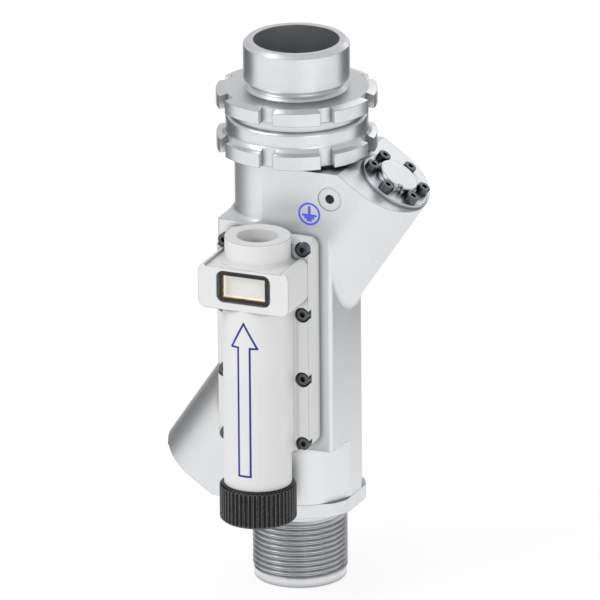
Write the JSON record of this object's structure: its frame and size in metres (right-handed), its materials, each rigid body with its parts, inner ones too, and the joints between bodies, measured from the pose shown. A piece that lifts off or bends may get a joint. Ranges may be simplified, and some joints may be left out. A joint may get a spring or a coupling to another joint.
{
  "type": "ultrasonic flow sensor",
  "caption": "In-line ultrasonic flow sensor with threaded inlet, plug spigot outlet, slanting transducer bosses and a battery-powered display unit.",
  "frame": {"origin": "centre of the inlet face, on the pipe axis", "axes": "+Z along the pipe axis from inlet to outlet, -Y towards the display, +X towards the upper sensor boss"},
  "size_m": [0.1488, 0.1232, 0.3087],
  "materials": {
    "body_aluminium": "clear anodised, satin",
    "fitting_aluminium": "turned, clear anodised",
    "cover_aluminium": "turned, clear anodised",
    "housing_aluminium": "clear anodised, satin",
    "screw_steel": "black oxide",
    "transducer_steel": "stainless, turned",
    "seal_rubber": "black nitrile",
    "lead_sheath": "black sheath",
    "board_laminate": "green laminate",
    "ribbon_film": "amber film",
    "window_glass": "clear",
    "amber_frame": "amber",
    "display_panel": "pale, blank",
    "connector_brass": "nickel plated",
    "insert_plastic": "black",
    "pin_brass": "gilt",
    "cell_steel": "sleeved",
    "contact_brass": "plain",
    "spring_steel": "spring wire",
    "cap_black": "black anodised, knurled"
  },
  "bodies": {
    "battery": {"battery_cells": "cell_steel"},
    "cap": {"end_cap": "cap_black", "cap_spring": "spring_steel"},
    "root": {"flow_body": "body_aluminium", "inlet_nipple": "fitting_aluminium", "outlet_neck": "fitting_aluminium", "outlet_spigot": "fitting_aluminium", "upper_transducer_cover": "cover_aluminium", "lower_transducer_cover": "cover_aluminium", "electronics_housing": "housing_aluminium", "upper_cover_screws": "screw_steel", "lower_cover_screws": "screw_steel", "housing_screws": "screw_steel", "board_screws": "screw_steel", "upper_transducer": "transducer_steel", "lower_transducer": "transducer_steel", "inlet_seal_ring": "seal_rubber", "neck_seal_ring": "seal_rubber", "spigot_seal_ring": "seal_rubber", "upper_cover_seal": "seal_rubber", "lower_cover_seal": "seal_rubber", "housing_seal": "seal_rubber", "end_cap_seal": "seal_rubber", "upper_transducer_lead": "lead_sheath", "lower_transducer_lead": "lead_sheath", "circuit_board": "board_laminate", "display_board": "board_laminate", "display_ribbon": "ribbon_film", "display_window": "window_glass", "display_frame": "amber_frame", "display_panel": "display_panel", "port_connector": "connector_brass", "port_insert": "insert_plastic", "port_pins": "pin_brass", "battery_contact": "contact_brass"}
  },
  "joints": [
    {"name": "cap_travel", "type": "slide", "parent": "root", "child": "battery", "axis": [0, 0, -1], "range_m": [0, 0.009]},
    {"name": "cap_turn", "type": "hinge", "parent": "battery", "child": "cap", "pos_m": [0, -0.0584, 0.0627], "axis": [0, 0, -1], "range_deg": [0, 2160]}
  ],
  "couplings": [
    {"joint": "cap_turn", "follows": "cap_travel", "rad_per_m": 4188.8}
  ]
}
